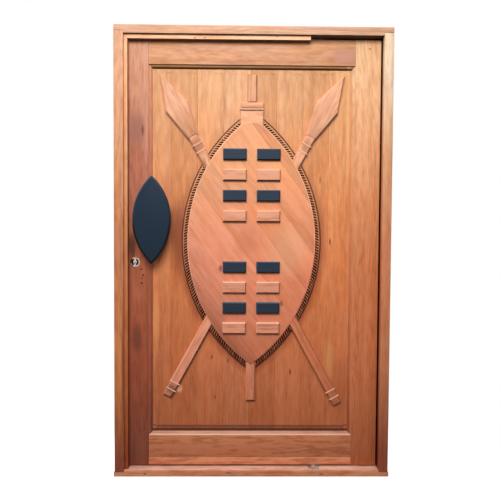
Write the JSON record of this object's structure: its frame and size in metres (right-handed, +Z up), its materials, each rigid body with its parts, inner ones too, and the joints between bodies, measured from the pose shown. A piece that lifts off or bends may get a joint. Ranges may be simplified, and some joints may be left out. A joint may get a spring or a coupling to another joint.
{
  "type": "pivot door",
  "caption": "Hardwood pivot door in its frame: a boarded leaf with a carved shield and crossed spears, an almond pull handle and a cylinder deadlock.",
  "frame": {"origin": "on the underside of the sill, midway along it, in the plane of the pivot", "axes": "+X to the right seen from outside, +Y into the room, +Z up"},
  "size_m": [1.304, 0.129, 2.11],
  "materials": {
    "frame_wood": "clear varnished hardwood",
    "stop_wood": "clear varnished hardwood",
    "leaf_wood": "clear varnished hardwood",
    "panel_wood": "clear varnished hardwood",
    "shield_wood": "clear varnished hardwood",
    "carved_wood": "clear varnished hardwood",
    "dark_paint": "blue-black stained wood",
    "handle_paint": "blue-black paint, satin",
    "chrome": "polished",
    "steel": "brushed",
    "brass": "machined"
  },
  "bodies": {
    "frame": {"jamb_left": "frame_wood", "jamb_right": "frame_wood", "head": "frame_wood", "sill": "frame_wood", "stop_left": "stop_wood", "stop_right": "stop_wood", "head_stop_front": "stop_wood", "head_stop_rear": "stop_wood", "floor_pivot": "steel", "thrust_washer": "brass", "top_pivot": "steel", "strike_plate": "steel"},
    "leaf": {"stile_left": "leaf_wood", "stile_right": "leaf_wood", "top_rail": "leaf_wood", "bottom_rail": "leaf_wood", "kick_rail": "leaf_wood", "panel_board_1": "panel_wood", "panel_board_2": "panel_wood", "panel_board_3": "panel_wood", "panel_board_4": "panel_wood", "panel_board_5": "panel_wood", "panel_board_6": "panel_wood", "panel_board_7": "panel_wood", "panel_board_8": "panel_wood", "bead_bottom": "panel_wood", "bead_right": "panel_wood", "bead_top": "panel_wood", "bead_left": "panel_wood", "shield_board_1": "shield_wood", "shield_board_2": "shield_wood", "shield_board_3": "shield_wood", "shield_board_4": "shield_wood", "shield_board_5": "shield_wood", "shield_board_6": "shield_wood", "shield_board_7": "shield_wood", "blocks_natural": "shield_wood", "shield_border": "carved_wood", "shield_neck": "carved_wood", "staff_top": "carved_wood", "staff_bottom": "carved_wood", "spear_left_head": "carved_wood", "spear_right_head": "carved_wood", "spear_left_butt": "carved_wood", "spear_right_butt": "carved_wood", "blocks_dark": "dark_paint", "handle_plate": "handle_paint", "handle_posts": "handle_paint", "rose_outer": "chrome", "rose_inner": "chrome", "lock_cylinder": "chrome", "pivot_shoe": "steel", "lock_case": "steel", "handle_bolts": "steel", "top_bush": "brass"},
    "deadbolt": {"deadbolt": "brass"},
    "lock_plug": {"lock_plug": "chrome"}
  },
  "joints": [
    {"name": "leaf_pivot", "type": "hinge", "parent": "frame", "child": "leaf", "pos_m": [0.3, 0, 0], "axis": [0, 0, -1], "range_deg": [0, 90]},
    {"name": "bolt_slide", "type": "slide", "parent": "leaf", "child": "deadbolt", "axis": [-1, 0, 0], "range_m": [0, 0.02]},
    {"name": "lock_turn", "type": "hinge", "parent": "leaf", "child": "lock_plug", "pos_m": [-0.558, 0, 1.015], "axis": [0, -1, 0], "range_deg": [0, 360]}
  ],
  "couplings": [
    {"joint": "lock_turn", "follows": "bolt_slide", "rad_per_m": 314.16}
  ]
}
